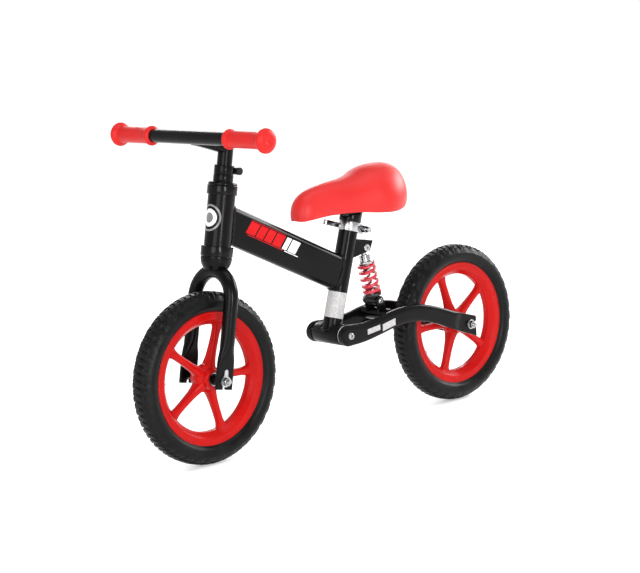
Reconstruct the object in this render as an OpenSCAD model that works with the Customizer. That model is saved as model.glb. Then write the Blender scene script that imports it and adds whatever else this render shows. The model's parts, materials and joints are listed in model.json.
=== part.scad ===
// Balance bike for a small child: a suspended steel frame on two 12 inch foam-tyred wheels.
// +X is the way it rolls, +Z is up. The origin is on the floor, midway between the two wheels.

/* [Wheels] */
// Distance between the two axles
wheelbase = 594; // [560:2:620]
// Outer radius of both tyres
tyre_r = 145; // [140:1:150]
// Full width of a tyre
tyre_w = 46; // [38:1:50]
// Outer radius of the moulded rim
rim_r = 112.4; // [106:0.2:116]
// Full width of the rim
rim_w = 31; // [28:1:34]
// Spokes in each wheel
spoke_count = 5; // [3:1:8]
// Angle of the first front spoke above the +X axis
front_spoke_angle = 37.6; // [0:0.2:72]
// Angle of the first rear spoke above the +X axis
rear_spoke_angle = 72; // [0:0.2:72]

/* [Steering] */
// Lean of the steering axis back from vertical
head_lean = 10.7; // [9:0.1:13]
// Distance up the steering axis from the front axle to the lower headset cup
head_rise = 202.5; // [200:0.5:206]
// Outer diameter of the head tube
head_tube_d = 45.5; // [42:0.5:48]
// Length of the head tube
head_tube_len = 85.5; // [82:0.5:90]
// Outer diameter of the steerer tube
steerer_d = 28.6; // [28.6, 31.8]
// Outer diameter of the fork tube
fork_tube_d = 24; // [20:1:25]
// Sideways distance from the middle to a fork leg
fork_leg_y = 47; // [44:1:52]

/* [Handlebar] */
// Overall width across the grips
bar_w = 392; // [360:2:420]
// Diameter of the bare handlebar tube
bar_d = 22.2; // [19.1, 22.2]
// Height of the handlebar above the floor
bar_z = 545; // [535:1:555]
// How far the handlebar stands in front of the wheelbase's middle
bar_x = 300; // [290:1:306]
// Length of one grip
grip_len = 100; // [92:1:112]

/* [Frame] */
// Height of the main tube's section
main_tube_h = 62; // [56:1:64]
// Width of the main tube's section
main_tube_w = 30; // [26:1:34]
// Slope of the main tube
main_tube_slope = 25.7; // [22:0.1:28]
// Lean of the seat tube back from vertical
seat_lean = 17.1; // [15:0.1:19]
// Outer diameter of the seat tube
seat_tube_d = 34; // [32:1:36]
// Diameter of the seat post
post_d = 28.6; // [27.2, 28.6]
// Outer diameter of the pivot tube
pivot_tube_d = 37; // [34:1:40]

/* [Swingarm] */
// Thickness of one arm
arm_t = 14; // [12:1:16]
// Sideways distance from the middle to an arm
arm_y = 41; // [40:0.5:43]

/* [Saddle] */
// Length of the saddle
saddle_len = 251; // [246:1:256]
// Widest part of the saddle
saddle_w = 125; // [115:1:135]

/* [Hidden] */
$fn = 64;

// Stations up the steering axis, measured from the bottom face of the lower headset cup
lower_cup_h = 16.8;
upper_cup_h = 15.5;
cap_h = 5.2;
head_top = lower_cup_h + head_tube_len;
cup_top = head_top + upper_cup_h;
cap_base = cup_top + 0.3;
cap_top = cap_base + cap_h;
collar_h = 12.5;
clamp_h = 15.3;
clamp_base = cap_top + collar_h;
clamp_top = clamp_base + clamp_h;
headset_bearing_r = 19;
headset_bearing_h = 7;
run = 0.05;
gap = 0.3;
stem_d = 25.4;

// The axles, the pivot and the shock's two ends
front_x = wheelbase / 2;
axle_r = 4;
axle_hole_r = axle_r + run;
pivot = [9, 0, 173];
seat_foot = [12, 0, 174];
shock_top = [-74, 0, 315];
shock_foot = [-96, 0, 216.5];
shock_len = norm(shock_top - shock_foot);
shock_lean = atan2(shock_top[0] - shock_foot[0], shock_top[2] - shock_foot[2]);

// The wheels' hubs and bearings
bearing_r = 11;
bearing_w = 7;
hub_half = 22;
hub_r = 17;
rim_inner_r = 90;
rim_face_r = 99;
tyre_seat_r = 106;

// The fork's ends and the swingarm's ends
dropout_t = 6;
dropout_w = 34;
washer_t = 1.5;
nut_h = 6.5;
nut_flats = 13;
stub = 5;
end_len = 4;
end_r = 3.8;
fork_face = fork_leg_y + dropout_t / 2;
rear_dropout_y = arm_y + 1.5;
rear_face = rear_dropout_y + dropout_t / 2;
arch_top_z = 320;
arch_z = (arch_top_z - tyre_r) / cos(head_lean) - fork_leg_y;
flat_top = 22;
round_z = 62;

// The seat tube's stations, measured up from its foot
seat_top = 197;
band_base = 182;
band_top = 198.8;
skewer_s = 190.5;
skewer_x = -25;
saddle_z = 384;

module at_leg() translate([front_x, 0, tyre_r]) rotate([0, -head_lean, 0]) children();
module at_head(w) at_leg() translate([0, 0, head_rise + w]) children();
module at_seat(s) translate(seat_foot) rotate([0, -seat_lean, 0]) translate([0, 0, s]) children();
module at_shock(s) translate(shock_foot) rotate([0, shock_lean, 0]) translate([0, 0, s]) children();
module at_axle(x) translate([x, 0, tyre_r]) children();
module along_y() rotate([-90, 0, 0]) children();
module both_sides() {
    children();
    mirror([0, 1, 0]) children();
}

module tube(outer_r, inner_r, len) {
    difference() {
        cylinder(r = outer_r, h = len);
        translate([0, 0, -1]) cylinder(r = inner_r, h = len + 2);
    }
}

module rod_y(r, y0, y1) translate([0, y0, 0]) along_y() cylinder(r = r, h = y1 - y0);
module ring_y(outer_r, inner_r, y0, y1) {
    translate([0, y0, 0]) along_y() tube(outer_r, inner_r, y1 - y0);
}
module hex_y(flats, y0, y1, hole_r) {
    difference() {
        translate([0, y0, 0]) along_y() cylinder(d = flats / cos(30), h = y1 - y0, $fn = 6);
        rod_y(hole_r, y0 - 1, y1 + 1);
    }
}

// A side outline in X and Z, thickened along Y from y0 to y1
module plate(y0, y1) translate([0, y1, 0]) rotate([90, 0, 0]) linear_extrude(y1 - y0) children();
module disc_at(p, r) translate(p) circle(r = r);

function along(a) = [cos(a), sin(a)];
arc_steps = 16;

// Two circles joined by their outer tangents, as one outline
module link(p, r, q, s) {
    heading = atan2(q[1] - p[1], q[0] - p[0]);
    lean = acos((r - s) / norm(q - p));
    polygon(concat(
        [for (k = [0:arc_steps]) p + r * along(heading + lean + k * (360 - 2 * lean) / arc_steps)],
        [for (k = [0:arc_steps]) q + s * along(heading - lean + k * 2 * lean / arc_steps)]
    ));
}

// The outline's point beside point i of a middle line, on its left (1) or right (-1)
function edge(line, i, side) = let (
    c = line[i],
    d = line[min(i + 1, len(line) - 1)] - line[max(i - 1, 0)],
    n = [-d[1], d[0]] / norm([d[0], d[1]])
) [c[0], c[1]] + side * c[2] * n;

function end_arc(c, d) = [for (k = [1:arc_steps - 1])
    [c[0], c[1]] + c[2] * along(atan2(d[1], d[0]) - 90 + 180 * k / arc_steps)];

// A strip along a middle line of [x, z, half width] points, round at both ends
module strip(line) {
    last = len(line) - 1;
    polygon(concat(
        [for (i = [0:last]) edge(line, i, -1)],
        end_arc(line[last], line[last] - line[last - 1]),
        [for (i = [last:-1:0]) edge(line, i, 1)],
        end_arc(line[0], line[0] - line[1])
    ));
}

module rounded_rect(w, h, r) {
    square([w - 2 * r, h], center = true);
    square([w, h - 2 * r], center = true);
    for (x = [-1, 1], y = [-1, 1]) disc_at([x * (w / 2 - r), y * (h / 2 - r)], r);
}

// ---------- Frame ----------

module head_tube() {
    color("#1b1b1c") at_head(lower_cup_h) tube(head_tube_d / 2, 20, head_tube_len);
}

main_tube_wall = 2;
main_tube_r = 13;
main_mid = [100, 0, 330.8];

module main_tube() {
    color("#1b1b1c") difference() {
        translate(main_mid) rotate([0, 90 - main_tube_slope, 0])
            linear_extrude(300, center = true) difference() {
                rounded_rect(main_tube_h, main_tube_w, main_tube_r);
                rounded_rect(main_tube_h - 2 * main_tube_wall, main_tube_w - 2 * main_tube_wall,
                    main_tube_r - main_tube_wall);
            }
        at_head(-20) cylinder(d = head_tube_d, h = 160);
        at_head(-20) translate([0, -50, 0]) cube([100, 100, 160]);
        at_seat(0) cylinder(d = seat_tube_d, h = 260);
        at_seat(0) translate([-100, -50, 0]) cube([100, 100, 260]);
    }
}

module seat_tube() {
    color("#1b1b1c") difference() {
        at_seat(0) tube(seat_tube_d / 2, 15.4, seat_top);
        translate(pivot) rod_y(pivot_tube_d / 2, -40, 40);
    }
}

pivot_half = arm_y - arm_t / 2 - 1.5;
bush_r = 14;
bush_flange = 1.2;
pivot_bolt_r = 5;

module pivot_tube() {
    color("#1b1b1c") translate(pivot) ring_y(pivot_tube_d / 2, bush_r, -pivot_half, pivot_half);
}

module pivot_bushes() {
    color("white") translate(pivot) both_sides() {
        ring_y(bush_r, pivot_bolt_r + run, pivot_half - 14, pivot_half);
        ring_y(17, pivot_bolt_r + run, pivot_half, pivot_half + bush_flange);
    }
}

shock_eye_half = 6;
bracket_in = shock_eye_half + gap;
bracket_t = 3.7;
shock_bolt_r = 4;

module upper_shock_bracket() {
    color("#1b1b1c") difference() {
        both_sides() plate(bracket_in, bracket_in + bracket_t) polygon([
            [-34, 300], [-46, 301.5], [-83, 308.5], [-91, 326], [-44, 334]]);
        at_seat(0) cylinder(d = seat_tube_d, h = 260);
        translate(shock_top) rod_y(shock_bolt_r, -30, 30);
    }
}

module upper_shock_bolt() {
    face = bracket_in + bracket_t;
    color("silver") translate(shock_top) {
        rod_y(shock_bolt_r, -face - nut_h, face);
        rod_y(7, face, face + 3.5);
        hex_y(nut_flats, -face - nut_h, -face, shock_bolt_r);
    }
}

module upper_headset_cup() {
    color("#1b1b1c") at_head(head_top) difference() {
        union() {
            cylinder(r = 25.2, h = upper_cup_h);
            translate([0, 0, -10]) cylinder(r = 20, h = 10.5);
        }
        translate([0, 0, -11]) cylinder(r = 16, h = 40);
        translate([0, 0, upper_cup_h - headset_bearing_h]) cylinder(r = headset_bearing_r, h = 20);
    }
}

module lower_headset_cup() {
    color("#1b1b1c") at_head(0) difference() {
        union() {
            cylinder(r = 27.1, h = lower_cup_h);
            translate([0, 0, lower_cup_h - 0.5]) cylinder(r = 20, h = 10.5);
        }
        translate([0, 0, -1]) cylinder(r = 16, h = 40);
        translate([0, 0, -1]) cylinder(r = headset_bearing_r, h = headset_bearing_h + 1);
    }
}

module headset_bearings() {
    color("silver") {
        at_head(0) tube(headset_bearing_r, steerer_d / 2 + run, headset_bearing_h);
        at_head(cup_top - headset_bearing_h)
            tube(headset_bearing_r, steerer_d / 2 + run, headset_bearing_h);
    }
}

// ---------- Seat clamp ----------

band_r = 18.6;
ear_out = 5.5;

module seat_post_shim() {
    color("dimgray") at_seat(seat_top - 60) tube(15.4, post_d / 2 + run, 60);
}

module seat_clamp() {
    color("silver") at_seat(0) difference() {
        union() {
            translate([0, 0, band_base]) cylinder(r = band_r, h = band_top - band_base);
            translate([skewer_x - 6, -ear_out, band_base]) cube([20, 2 * ear_out, band_top - band_base]);
        }
        translate([0, 0, band_base - 1]) cylinder(d = seat_tube_d, h = 40);
        translate([-60, -1.5, band_base - 1]) cube([60, 3, 40]);
        translate([skewer_x, 0, skewer_s]) rod_y(3, -20, 20);
    }
}

cam_r = 7.5;
cam_y = -ear_out - gap - cam_r;
eye_r = 5.5;
eye_half = 3.1;
lever_y = -25;
lever_r = 3.2;
nut_end = 27;

module clamp_skewer() {
    color("silver") at_seat(skewer_s) translate([skewer_x, 0, 0]) difference() {
        union() {
            rod_y(3, cam_y, nut_end);
            translate([0, cam_y, -eye_half]) cylinder(r = eye_r, h = 2 * eye_half);
        }
        translate([0, cam_y, -10]) cylinder(r = 2.5 + run, h = 20);
    }
}

module clamp_nut() {
    color("silver") at_seat(skewer_s) translate([skewer_x, 0, 0]) {
        ring_y(6, 3, ear_out, 20);
        ring_y(5.2, 3, 20, nut_end);
    }
}

module lever_arm() {
    translate([0, 0, -4.5]) linear_extrude(9) strip([[0, cam_y, 5], [8, lever_y + 5, lever_r + 0.6],
        [16, lever_y + 1, lever_r], [28, lever_y, lever_r], [58, lever_y - 1, lever_r + 0.8]]);
}

module qr_lever() {
    slot = eye_half + gap;
    color("silver") at_seat(skewer_s) translate([skewer_x, 0, 0]) {
        difference() {
            union() {
                translate([0, cam_y, -7]) cylinder(r = cam_r, h = 14);
                lever_arm();
            }
            translate([0, cam_y, -slot]) cylinder(r = cam_r + 1, h = 2 * slot);
            translate([-cam_r - 1, cam_y, -slot]) cube([cam_r + 5, 20, 2 * slot]);
        }
        translate([0, cam_y, -7]) cylinder(r = 2.5, h = 14);
    }
}

// ---------- Fork ----------

module steerer_tube() {
    color("#1b1b1c") at_head(-8) tube(steerer_d / 2, stem_d / 2 + run, clamp_top + 6);
}

crown_top = -0.5;
crown_h = 22;

module arch_solid(r) {
    at_leg() translate([0, 0, arch_z]) rotate([90, 0, 90])
        rotate_extrude(angle = 180) translate([fork_leg_y, 0]) circle(r = r);
}

module fork_crown() {
    color("#1b1b1c") difference() {
        at_head(crown_top) rotate_extrude() polygon([
            [0, 0], [26, 0], [26.5, -3], [25.7, -9], [23.4, -15], [19.5, -crown_h], [0, -crown_h]]);
        at_head(-8) cylinder(d = steerer_d, h = 40);
        arch_solid(fork_tube_d / 2);
    }
}

module fork_legs() {
    tube_r = fork_tube_d / 2;
    color("#1b1b1c") difference() {
        union() {
            arch_solid(tube_r);
            at_leg() both_sides() translate([0, fork_leg_y, 0]) {
                translate([0, 0, round_z]) cylinder(r = tube_r, h = arch_z - round_z);
                hull() {
                    translate([0, 0, round_z]) cylinder(r = tube_r, h = 1, $fn = 32);
                    translate([-dropout_w / 2, -dropout_t / 2, flat_top - 1])
                        cube([dropout_w, dropout_t, 1]);
                }
                translate([-dropout_w / 2, -dropout_t / 2, -14])
                    cube([dropout_w, dropout_t, flat_top + 14]);
            }
        }
        at_leg() both_sides() translate([0, fork_leg_y, 0]) {
            rod_y(axle_r, -8, 8);
            translate([-axle_r, -8, -20]) cube([2 * axle_r, 16, 20]);
        }
    }
}

module headset_cap() {
    inner = steerer_d / 2;
    color("#1b1b1c") at_head(cap_base) rotate_extrude() polygon([
        [inner, 0], [24.3, 0], [24.3, 2.4], [23.3, 4.4], [20.8, cap_h], [inner, cap_h]]);
}

clamp_bolt_x = -21.5;

module stem_clamp() {
    ring_r = 16.7;
    color("#1b1b1c") at_head(cap_top) difference() {
        union() {
            cylinder(r = ring_r, h = collar_h - 0.6);
            translate([0, 0, collar_h - 1]) cylinder(r = ring_r - 0.9, h = 2);
            translate([0, 0, collar_h]) cylinder(r = ring_r - 0.3, h = clamp_h);
            translate([clamp_bolt_x - 6, -7.5, collar_h + 2]) cube([16, 15, clamp_h - 4]);
        }
        translate([0, 0, -1]) cylinder(d = steerer_d, h = 60);
        translate([-60, -1.2, collar_h + 0.2]) cube([60, 2.4, 60]);
        translate([clamp_bolt_x, 0, collar_h + clamp_h / 2]) rod_y(3, -20, 20);
    }
}

module stem_clamp_bolt() {
    color("dimgray") at_head(clamp_base + clamp_h / 2) translate([clamp_bolt_x, 0, 0]) {
        rod_y(3, -15, 7.5);
        rod_y(6.3, 7.5, 16);
        hex_y(10, -12.5, -7.5, 3);
    }
}

// ---------- Axle hardware, the same at both ends apart from its widths ----------

module spacers(x, face) {
    color("silver") at_axle(x) {
        both_sides() ring_y(6.5, axle_r, hub_half + gap, face);
        ring_y(6.5, axle_r, -hub_half + bearing_w + gap, hub_half - bearing_w - gap);
    }
}

module washers(x, face, r) {
    color("silver") at_axle(x) both_sides() ring_y(r, axle_r, face, face + washer_t);
}

module axle_nuts(x, face) {
    color("silver") at_axle(x) both_sides() {
        hex_y(nut_flats, face + washer_t, face + washer_t + nut_h, axle_r);
    }
}

module axle(x, face) {
    end = face + washer_t + nut_h + stub;
    color("silver") at_axle(x) {
        rod_y(axle_r, end_len - end, end - end_len);
        rod_y(end_r, -end, end);
    }
}

module front_axle() axle(front_x, fork_face);
module front_spacers() spacers(front_x, fork_leg_y - dropout_t / 2);
module front_axle_nuts() axle_nuts(front_x, fork_face);
module rear_axle() axle(-front_x, rear_face);
module rear_spacers() spacers(-front_x, rear_dropout_y - dropout_t / 2);
module rear_washers() washers(-front_x, rear_face, 9);
module rear_axle_nuts() axle_nuts(-front_x, rear_face);

module front_tab_washers() {
    color("silver") at_leg() both_sides() difference() {
        plate(fork_face, fork_face + washer_t) {
            circle(r = 9.5);
            link([0, 0], 5, [0, 16], 3.5);
        }
        rod_y(axle_r, 0, 100);
    }
}

// ---------- Handlebar ----------

stem_foot = 45;
stem_top_w = 194;

module stem_tube() {
    wall = 2;
    color("#1b1b1c") at_head(stem_foot) difference() {
        cylinder(d = stem_d, h = stem_top_w - stem_foot);
        translate([0, 0, -1]) cylinder(d = stem_d - 2 * wall, h = stem_top_w - stem_foot - wall + 1);
    }
}

module stem_arm() {
    color("#1b1b1c") difference() {
        plate(-11, 11) link([230, 523.5], 10.5, [bar_x - 5, bar_z - 3], 10.5);
        at_head(0) cylinder(d = stem_d, h = 260);
        at_head(0) translate([-60, -30, 0]) cube([60, 60, 260]);
        translate([bar_x, 0, bar_z]) rod_y(bar_d / 2, -30, 30);
    }
}

module handlebar() {
    color("#1b1b1c") translate([bar_x, 0, bar_z])
        ring_y(bar_d / 2, bar_d / 2 - 2, -bar_w / 2 + 5, bar_w / 2 - 5);
}

module grip() {
    hole = bar_d / 2;
    body_r = 13.6;
    end = grip_len;
    color("#e8382f") translate([bar_x, bar_w / 2 - grip_len, bar_z]) along_y() difference() {
        union() {
            rotate_extrude() polygon([
                [0, 0], [13.2, 0], [15.6, 2], [16.6, 5.5], [15.6, 9], [body_r, 11.5],
                [body_r, end - 17], [15.5, end - 15.5], [18.8, end - 13], [20, end - 9.5],
                [19.5, end - 5.5], [16.5, end - 2], [11, end - 0.3], [0, end]]);
        }
        translate([0, 0, -1]) cylinder(r = hole, h = grip_len - 4);
    }
}

module left_grip() grip();
module right_grip() mirror([0, 1, 0]) grip();

// ---------- Seat ----------

bracket_z = saddle_z - 3;
post_head = [-52, 0];

module above_bracket() translate([-150, -50, bracket_z]) cube([150, 100, 80]);

module seat_post() {
    wall = 1.8;
    color("#2a2a2c") difference() {
        at_seat(80) tube(post_d / 2, post_d / 2 - wall, 150);
        above_bracket();
    }
}

module saddle_collar() {
    color("#1b1b1c") difference() {
        at_seat(band_top + gap) tube(19.6, post_d / 2, 30);
        above_bracket();
    }
}

module saddle_bracket() {
    color("dimgray") translate([post_head[0], 0, bracket_z]) linear_extrude(3) difference() {
        rounded_rect(70, 44, 8);
        for (x = [-27, 27], y = [-14, 14]) disc_at([x, y], 2.6);
    }
}

module saddle_screws() {
    color("silver") for (x = [-27, 27], y = [-14, 14])
        translate([post_head[0] + x, y, bracket_z]) {
            translate([0, 0, -3]) cylinder(r = 4.5, h = 3);
            cylinder(r = 2.5, h = 6);
        }
}

// The saddle's half width, crest and lower edge, from its tail to its nose
saddle_nose = 81;
saddle_tail = saddle_nose - saddle_len;
saddle_half = [[0, 8], [0.016, 20], [0.06, 36], [0.12, 49.5], [0.2, 59], [0.279, saddle_w / 2],
    [0.359, 59.5], [0.438, 51.5], [0.542, 42], [0.645, 34.5], [0.757, 29], [0.861, 26.5], [0.94, 24],
    [0.98, 18], [1, 10]];
saddle_crest = [[0, 29], [0.016, 41], [0.048, 57.5], [0.076, 67], [0.12, 74], [0.171, 77],
    [0.271, 77.3], [0.371, 73.5], [0.466, 64], [0.566, 58.5], [0.661, 56.2], [0.757, 53],
    [0.853, 48.5], [0.916, 43], [0.956, 36.5], [0.984, 27.5], [1, 18]];
saddle_edge = [[0, 21], [0.032, 13.5], [0.08, 6.3], [0.159, -0.3], [0.279, -3.8], [0.398, -2.8],
    [0.518, -0.3], [0.637, 0.9], [0.757, 0.3], [0.876, -2], [0.956, -4], [1, -4.5]];
saddle_lip = 6;
stations = [0, 0.01, 0.03, 0.06, 0.1, 0.15, 0.2, 0.26, 0.33, 0.4, 0.48, 0.56, 0.64, 0.72,
    0.8, 0.86, 0.91, 0.95, 0.98, 0.995, 1];
ring_steps = 20;

function saddle_ring(t) = let (
    w = lookup(t, saddle_half),
    low = lookup(t, saddle_edge),
    h = lookup(t, saddle_crest) - low
) [
    for (i = [0:ring_steps - 1]) let (a = 180 * i / (ring_steps - 1)) [
        saddle_tail + t * saddle_len,
        w * sign(cos(a)) * pow(abs(cos(a)), 0.8),
        saddle_z + low + h * pow(abs(sin(a)), 0.75)
    ]
];

module saddle_body() {
    rings = [for (t = stations) saddle_ring(t)];
    points = [for (ring = rings) for (p = ring) p];
    rows = len(stations);
    n = ring_steps;
    polyhedron(points, concat(
        [for (j = [0:rows - 2], i = [0:n - 1]) let (k = (i + 1) % n)
            [j * n + i, j * n + k, (j + 1) * n + k, (j + 1) * n + i]],
        [[for (i = [n - 1:-1:0]) i]],
        [[for (i = [0:n - 1]) (rows - 1) * n + i]]
    ));
}

// The hollow underneath, inside the saddle's hanging edge
module saddle_hollow() {
    inside = [for (t = [0.06:0.04:0.94])
        [saddle_tail + t * saddle_len, lookup(t, saddle_half) - saddle_lip]];
    last = len(inside) - 1;
    translate([0, 0, saddle_z - 30]) linear_extrude(30) polygon(concat(
        inside,
        [for (i = [last:-1:0]) [inside[i][0], -inside[i][1]]]
    ));
}

module saddle_outline() {
    link([-84, 0], 42, [56, 0], 16);
}

base_t = 4;

module saddle_base() {
    color("#1b1b1c") translate([0, 0, saddle_z]) linear_extrude(base_t) difference() {
        saddle_outline();
        for (x = [-27, 27], y = [-14, 14]) disc_at([post_head[0] + x, y], 2.5);
    }
}

module saddle() {
    color("#e3342c") difference() {
        saddle_body();
        saddle_hollow();
        translate([0, 0, saddle_z - 1]) linear_extrude(base_t + 1) saddle_outline();
    }
}

// ---------- Wheels ----------

module tyre(x) {
    half = tyre_w / 2;
    color("#2b2b2b") at_axle(x) along_y() rotate_extrude($fn = 96) polygon([
        [tyre_seat_r, -12], [rim_r + 0.1, -13.1], [rim_r + 0.3, -15.8], [118, -half + 1.2],
        [127, -half], [133, -half + 2], [138, -17.2], [142.6, -11], [tyre_r, -4],
        [tyre_r, 4], [142.6, 11], [138, 17.2], [133, half - 2], [127, half],
        [118, half - 1.2], [rim_r + 0.3, 15.8], [rim_r + 0.1, 13.1], [tyre_seat_r, 12]]);
}

// A spoke is narrow in the middle of its length, and thins from the hub out to the rim
module spoke() {
    foot = hub_r - 4;
    tip = rim_inner_r + 3;
    intersection() {
        linear_extrude(60, center = true) polygon([
            [foot, -10.5], [24, -9.2], [34, -7.7], [50, -6.7], [76, -6.7], [84, -8], [tip, -14],
            [tip, 14], [84, 8], [76, 6.7], [50, 6.7], [34, 7.7], [24, 9.2], [foot, 10.5]]);
        rotate([90, 0, 0]) linear_extrude(60, center = true) polygon([
            [foot, -15], [32, -9], [tip, -6], [tip, 6], [32, 9], [foot, 15]]);
    }
}

module rim(x, first_angle) {
    half = rim_w / 2;
    color("#e3342c") at_axle(x) rotate([90, 0, 0]) difference() {
        union() {
            rotate_extrude($fn = 96) polygon([
                [rim_inner_r, -5], [rim_face_r, -half], [rim_r, -half], [rim_r, -half + 2.4],
                [tyre_seat_r, -12], [tyre_seat_r, 12], [rim_r, half - 2.4], [rim_r, half],
                [rim_face_r, half], [rim_inner_r, 5]]);
            cylinder(r = hub_r, h = 2 * hub_half, center = true);
            for (i = [0:spoke_count - 1]) rotate([0, 0, first_angle + i * 360 / spoke_count]) spoke();
        }
        cylinder(r = 9, h = 60, center = true);
        for (s = [-1, 1]) translate([0, 0, s * (hub_half - bearing_w / 2 + 1)])
            cylinder(r = bearing_r, h = bearing_w + 2, center = true);
    }
}

module bearings(x) {
    color("silver") at_axle(x) both_sides()
        ring_y(bearing_r, axle_hole_r, hub_half - bearing_w, hub_half);
}

module front_tyre() tyre(front_x);
module front_rim() rim(front_x, front_spoke_angle);
module front_bearings() bearings(front_x);
module rear_tyre() tyre(-front_x);
module rear_rim() rim(-front_x, rear_spoke_angle);
module rear_bearings() bearings(-front_x);

// ---------- Swingarm ----------

// The arm's middle line in X and Z, with its half height at each point
arm_line = [[60, 166, 19], [pivot[0], pivot[2], 19], [-30, 173.5, 17], [-62, 177.5, 15.5],
    [-112, 186.5, 15.5], [-163, 187, 15.5], [-212, 175, 15.5], [-252, 160, 16.2],
    [-297, 145, 17.5], [-330, 134, 18.5], [-360, 124, 18.5]];
arm_end_x = -front_x - 15;
flat_from_x = -262;
span_steps = 5;

// A smooth curve through p and q, with their outer neighbours o and r
function curve_at(o, p, q, r, t) = 0.5 * (2 * p + (q - o) * t + (2 * o - 5 * p + 4 * q - r) * t * t
    + (3 * p - o - 3 * q + r) * t * t * t);
arm_points = [for (i = [1:len(arm_line) - 3], j = [0:span_steps - 1])
    curve_at(arm_line[i - 1], arm_line[i], arm_line[i + 1], arm_line[i + 2], j / span_steps)];

module swingarm() {
    color("#1b1b1c") difference() {
        plate(arm_y - arm_t / 2, arm_y + arm_t / 2) strip(arm_points);
        translate([arm_end_x - 60, 0, 100]) cube([60, 100, 100]);
        translate([arm_end_x - 1, rear_face, 100]) cube([flat_from_x - arm_end_x, 60, 100]);
        translate([arm_end_x - 1, rear_face - dropout_t - 60, 100])
            cube([flat_from_x - arm_end_x, 60, 100]);
        at_axle(-front_x) rod_y(axle_r, 0, 100);
        translate([arm_end_x - 1, 0, tyre_r - axle_r])
            cube([-front_x - arm_end_x + 1, 100, 2 * axle_r]);
        translate(pivot) rod_y(pivot_bolt_r, 0, 100);
    }
}

module left_swingarm() swingarm();
module right_swingarm() mirror([0, 1, 0]) swingarm();

bridge = [-104, 0, 191];
bridge_r = 11;
arm_inner = arm_y - arm_t / 2;

module swingarm_bridge() {
    color("#1b1b1c") translate(bridge) ring_y(bridge_r, bridge_r - 2, -arm_inner, arm_inner);
}

lug_in = 12 + gap;
lug_t = 4;

module lower_shock_lugs() {
    color("#1b1b1c") both_sides() difference() {
        plate(lug_in, lug_in + lug_t)
            link([bridge[0], bridge[2]], 9.2, [shock_foot[0], shock_foot[2]], 9);
        translate(bridge) rod_y(bridge_r, 0, 60);
        translate(shock_foot) rod_y(shock_bolt_r, 0, 60);
    }
}

module pivot_bolt() {
    face = arm_y + arm_t / 2;
    color("silver") translate(pivot) {
        rod_y(pivot_bolt_r, -face - 8, face);
        rod_y(6.6, face, face + 3.5);
    }
}

module pivot_nut() {
    face = arm_y + arm_t / 2;
    color("silver") translate(pivot) hex_y(15, -face - 7, -face, pivot_bolt_r);
}

module lower_shock_bolt() {
    face = lug_in + lug_t;
    color("silver") translate(shock_foot) {
        rod_y(shock_bolt_r, -face - nut_h, face);
        rod_y(5.2, face, face + 3.5);
        hex_y(nut_flats, -face - nut_h, -face, shock_bolt_r);
    }
}

// ---------- Shock ----------

spring_r = 17;
wire_r = 2.9;
spring_base = 12.5;
spring_len = 61;
spring_turns = 4.5;
seat_t = 3;
damper_r = 7;
rod_r = 4.5;
damper_base = 52;
foot_play = 0.35;
neck_r = 5.6;
shoulder = shock_len - 13;

module shock_body() {
    color("silver") difference() {
        union() {
            translate(shock_top) rod_y(8.5, -shock_eye_half, shock_eye_half);
            at_shock(spring_base + spring_len) cylinder(r = spring_r - 1, h = seat_t);
            at_shock(spring_base + spring_len) cylinder(r = 10, h = shoulder - spring_base - spring_len);
            at_shock(damper_base) cylinder(r = damper_r, h = shoulder - damper_base);
            at_shock(damper_base) cylinder(r = neck_r, h = shock_len - damper_base - 6);
        }
        translate(shock_top) rod_y(shock_bolt_r + run, -20, 20);
        at_shock(damper_base - 1) cylinder(r = rod_r + run, h = 34);
    }
}

module shock_rod() {
    color("#2a2a2c") difference() {
        union() {
            translate(shock_foot) rod_y(9, -12, 12);
            at_shock(spring_base - seat_t) cylinder(r = spring_r - 1, h = seat_t);
            at_shock(6) cylinder(r = 9, h = spring_base - seat_t - 5.5);
            at_shock(6) cylinder(r = rod_r, h = 62);
        }
        translate(shock_foot) rod_y(shock_bolt_r + foot_play, -20, 20);
    }
}

// The coil as a closed sleeve that holds the turns
module shock_spring() {
    color("#d8283a") at_shock(spring_base) tube(spring_r, spring_r - 2 * wire_r, spring_len);
}

head_tube();
main_tube();
seat_tube();
pivot_tube();
upper_shock_bracket();
upper_headset_cup();
lower_headset_cup();
headset_bearings();
seat_post_shim();
seat_clamp();
clamp_skewer();
clamp_nut();
qr_lever();
pivot_bushes();
upper_shock_bolt();
steerer_tube();
fork_crown();
fork_legs();
headset_cap();
stem_clamp();
stem_clamp_bolt();
front_axle();
front_spacers();
front_tab_washers();
front_axle_nuts();
stem_tube();
stem_arm();
handlebar();
left_grip();
right_grip();
seat_post();
saddle_collar();
saddle_bracket();
saddle_screws();
saddle_base();
saddle();
front_tyre();
front_rim();
front_bearings();
rear_tyre();
rear_rim();
rear_bearings();
left_swingarm();
right_swingarm();
swingarm_bridge();
lower_shock_lugs();
pivot_bolt();
pivot_nut();
lower_shock_bolt();
rear_axle();
rear_spacers();
rear_washers();
rear_axle_nuts();
shock_body();
shock_rod();
shock_spring();
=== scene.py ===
"""Looks for the balance bike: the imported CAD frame, dressed with detailed pieces, materials,
studio light and a camera placed where the photo was taken."""

import json
import math

import bmesh
import bpy
import numpy as np
from mathutils import Matrix, Vector


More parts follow.
